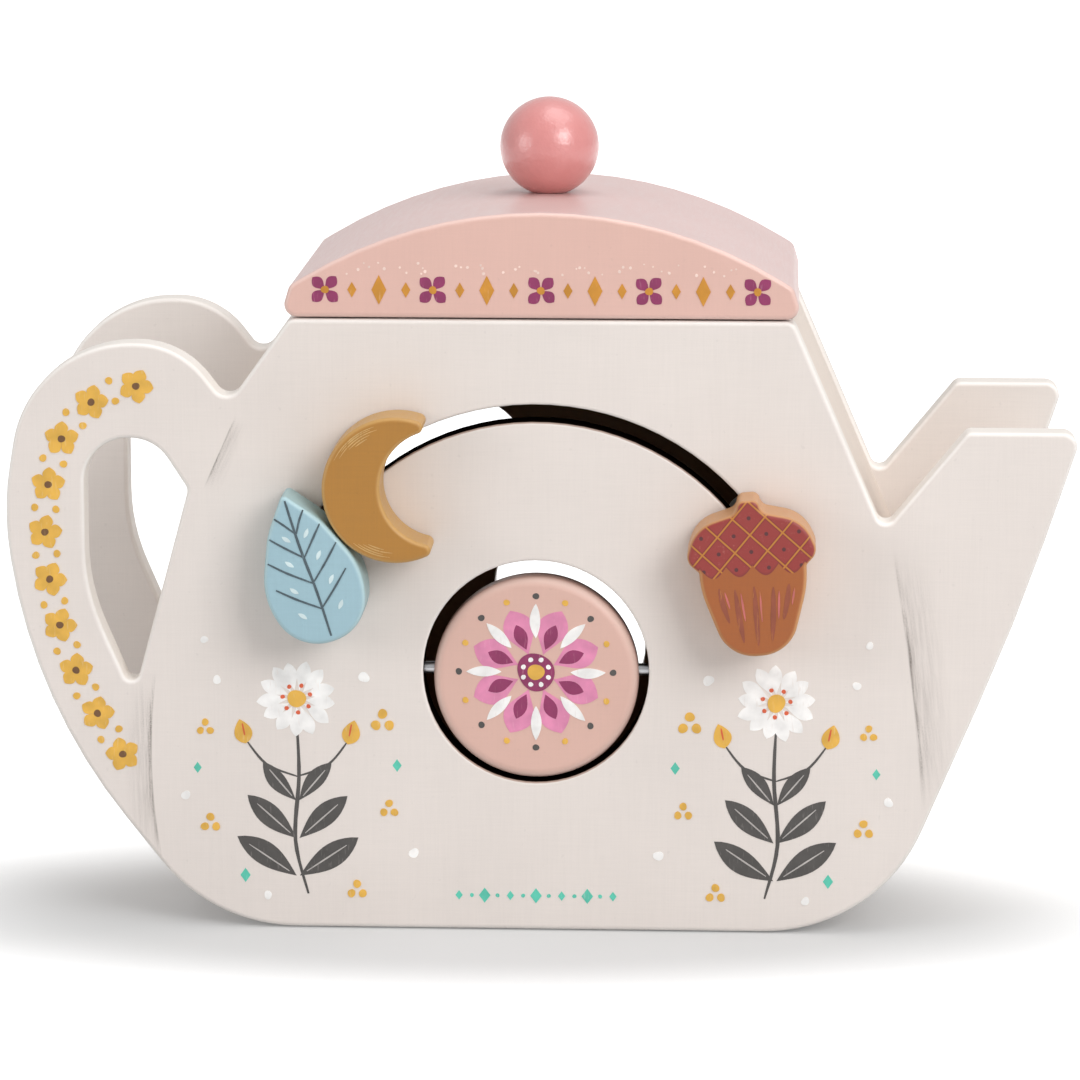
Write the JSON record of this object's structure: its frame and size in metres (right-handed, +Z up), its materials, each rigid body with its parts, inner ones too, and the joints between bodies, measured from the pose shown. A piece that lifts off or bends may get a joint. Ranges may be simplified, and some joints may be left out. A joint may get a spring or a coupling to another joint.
{
  "type": "toy teapot",
  "caption": "Flat-sided wooden toy teapot with a lift-off arched lid, a disc that spins in a round window, and leaf, moon and acorn shapes that slide in an arc slot.",
  "frame": {"origin": "on the underside of the bottom board, below the middle of the mouth, halfway between the two panels", "axes": "+X from handle to spout, +Y from the front panel to the back one, +Z up from the table to the lid"},
  "size_m": [0.2594, 0.1045, 0.2006],
  "materials": {
    "cream_panel": "satin",
    "beige_board": "satin",
    "beech": "matte",
    "peach_disc": "satin",
    "steel": "satin",
    "nylon": "matte",
    "blue_leaf": "satin",
    "ochre_moon": "satin",
    "brown_acorn": "satin",
    "pink_lid": "satin",
    "rose_knob": "gloss"
  },
  "bodies": {
    "pot": {"front_panel": "cream_panel", "back_panel": "cream_panel", "base_board": "beige_board", "left_wall": "beige_board", "left_shoulder": "beige_board", "right_wall": "beige_board", "spout_floor": "beige_board", "front_dowels": "beech", "back_dowels": "beech", "disc_axle": "steel", "axle_keepers": "beech"},
    "lid": {"lid": "pink_lid", "lid_locator": "beech", "locator_screws": "steel", "lid_knob": "rose_knob", "knob_dowel": "beech"},
    "disc": {"window_disc": "peach_disc"},
    "leaf_carriage": {"leaf_washer": "nylon"},
    "leaf": {"leaf_block": "blue_leaf", "leaf_screw": "steel"},
    "moon_carriage": {"moon_washer": "nylon"},
    "moon": {"moon_block": "ochre_moon", "moon_screw": "steel"},
    "acorn_carriage": {"acorn_washer": "nylon"},
    "acorn": {"acorn_block": "brown_acorn", "acorn_screw": "steel"}
  },
  "joints": [
    {"name": "lid_lift", "type": "slide", "parent": "pot", "child": "lid", "axis": [0, 0, 1], "range_m": [0, 0.06]},
    {"name": "disc_spin", "type": "hinge", "parent": "pot", "child": "disc", "pos_m": [-0.0012, -0.0405, 0.0647], "axis": [1, 0, 0], "continuous": true},
    {"name": "leaf_slide", "type": "hinge", "parent": "pot", "child": "leaf_carriage", "pos_m": [-0.0012, -0.0405, 0.0647], "axis": [0, 1, 0], "range_deg": [0, 14]},
    {"name": "moon_slide", "type": "hinge", "parent": "leaf_carriage", "child": "moon_carriage", "pos_m": [-0.0012, -0.0405, 0.0647], "axis": [0, 1, 0], "range_deg": [0, 16]},
    {"name": "acorn_slide", "type": "hinge", "parent": "pot", "child": "acorn_carriage", "pos_m": [-0.0012, -0.0405, 0.0647], "axis": [0, -1, 0], "range_deg": [0, 16]},
    {"name": "leaf_swivel", "type": "hinge", "parent": "leaf_carriage", "child": "leaf", "pos_m": [-0.05664, -0.045, 0.09607], "axis": [0, 1, 0], "range_deg": [-1, 14]},
    {"name": "moon_swivel", "type": "hinge", "parent": "moon_carriage", "child": "moon", "pos_m": [-0.04497, -0.045, 0.11098], "axis": [0, -1, 0], "range_deg": [0, 70]},
    {"name": "acorn_swivel", "type": "hinge", "parent": "acorn_carriage", "child": "acorn", "pos_m": [0.05066, -0.045, 0.10169], "axis": [0, 1, 0], "continuous": true}
  ]
}
